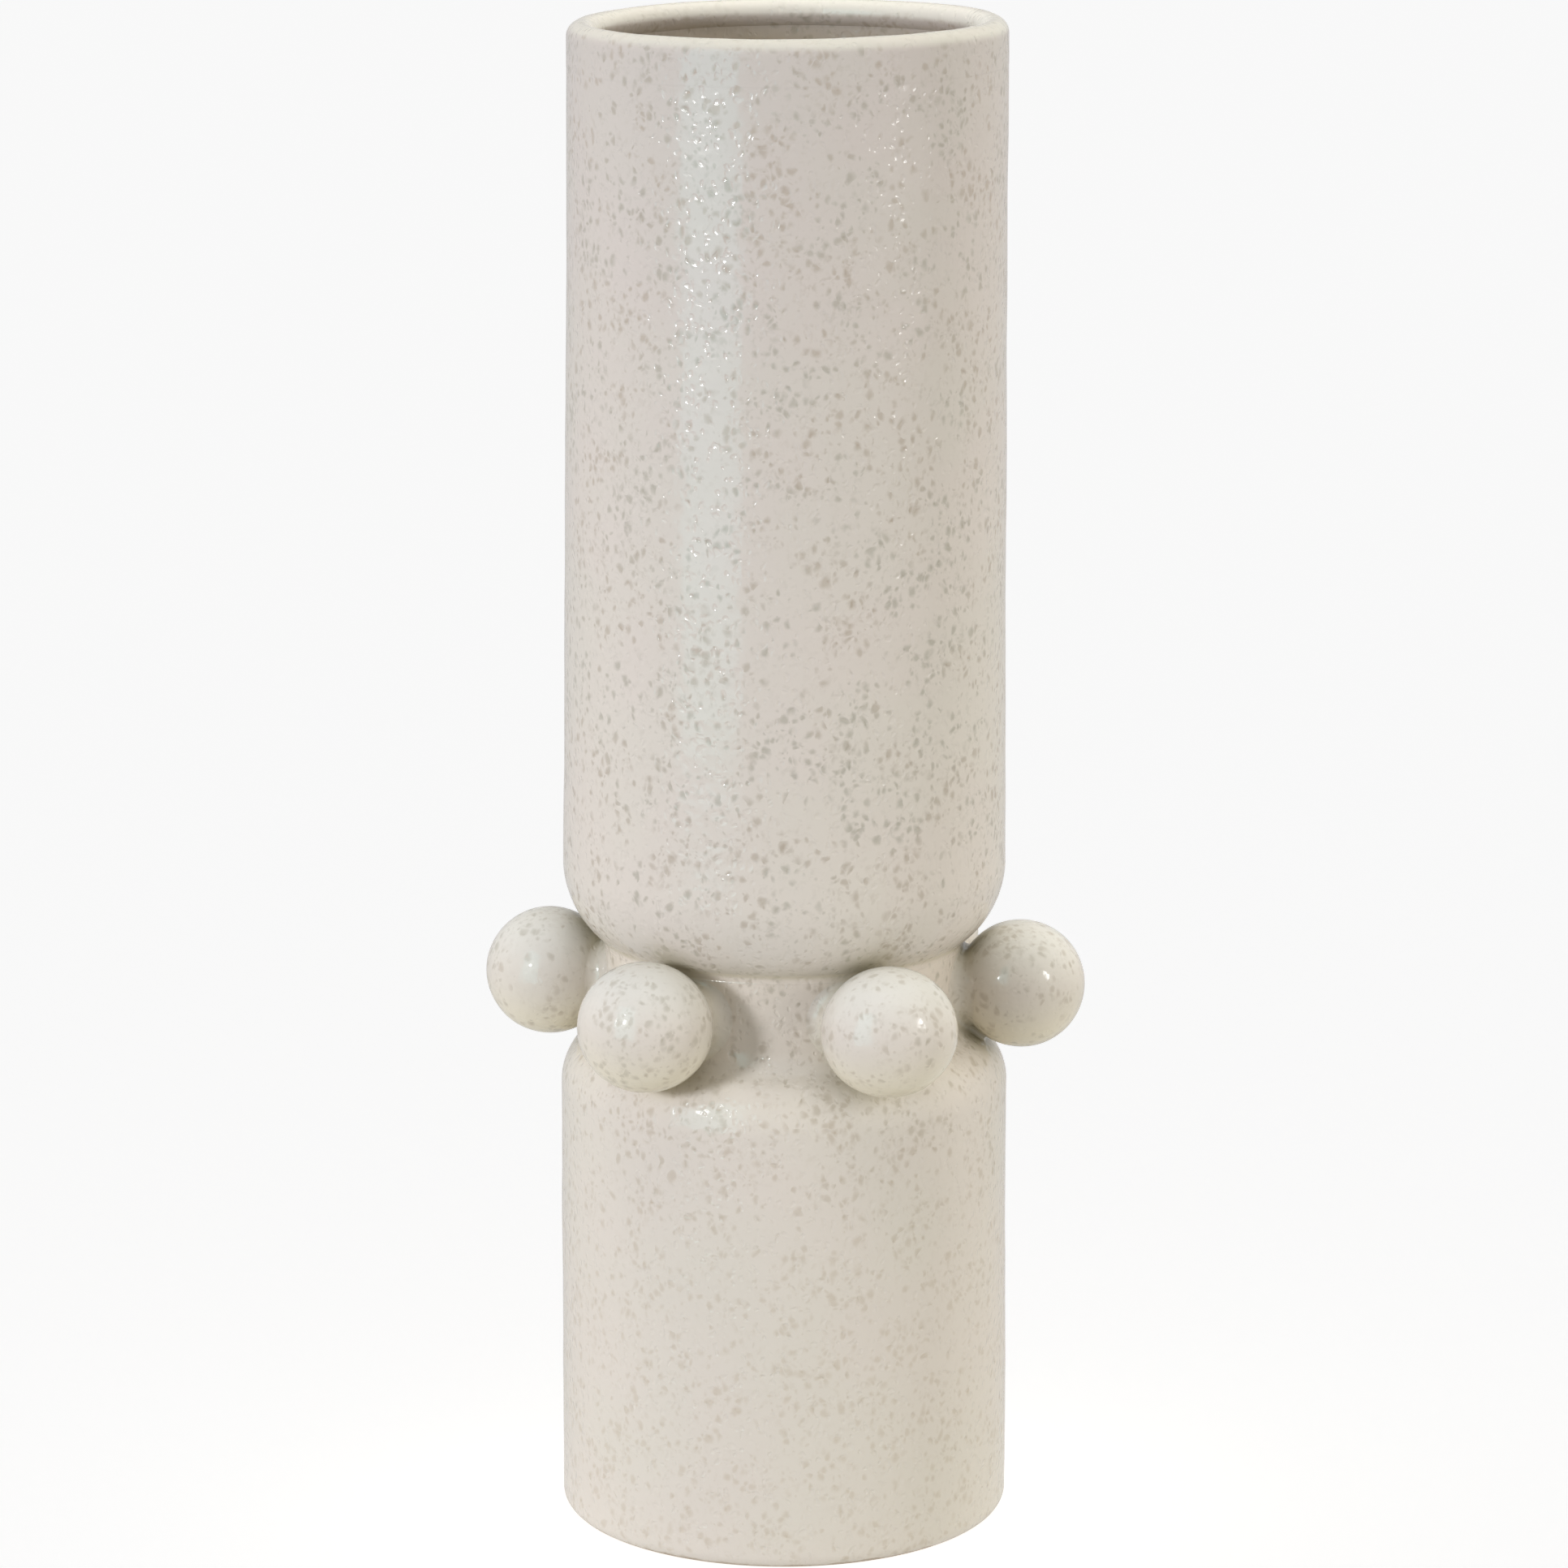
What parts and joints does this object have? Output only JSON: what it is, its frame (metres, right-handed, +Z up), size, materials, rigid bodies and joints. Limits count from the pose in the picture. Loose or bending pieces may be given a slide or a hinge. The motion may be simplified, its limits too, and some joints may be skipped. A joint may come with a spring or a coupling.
{
  "type": "vase",
  "caption": "Tall glazed stoneware vase: two stacked drums joined by a narrow waist ringed with clay balls, open round mouth with a rolled rim.",
  "frame": {"origin": "centre of the foot, on the surface the vase stands on", "axes": "+Z up along the vase's axis; +X through one ball and -X through the ball opposite; the side usually seen faces -Y, and the usual viewpoint is turned 6.5 degrees from -Y towards +X"},
  "size_m": [0.1844, 0.1672, 0.46],
  "materials": {
    "glazed_stoneware": "satin gloss reactive glaze, warm off-white with grey-brown specks",
    "foot_stoneware": "the same glaze down to a bare clay foot ring",
    "slip": "fired slip, glazed over where it shows"
  },
  "bodies": {
    "root": {"base_disc": "foot_stoneware", "base_slip_seam": "slip", "floor_coil": "glazed_stoneware", "lower_cylinder": "glazed_stoneware", "shoulder_slip_seam": "slip", "waist_collar": "glazed_stoneware", "waist_slip_seam": "slip", "upper_cylinder": "glazed_stoneware", "rim_slip_seam": "slip", "rim_lip": "glazed_stoneware", "ball_1": "glazed_stoneware", "ball_2": "glazed_stoneware", "ball_3": "glazed_stoneware", "ball_4": "glazed_stoneware", "ball_5": "glazed_stoneware", "ball_6": "glazed_stoneware", "ball_slip_joint_1": "slip", "ball_slip_joint_2": "slip", "ball_slip_joint_3": "slip", "ball_slip_joint_4": "slip", "ball_slip_joint_5": "slip", "ball_slip_joint_6": "slip"}
  },
  "joints": []
}
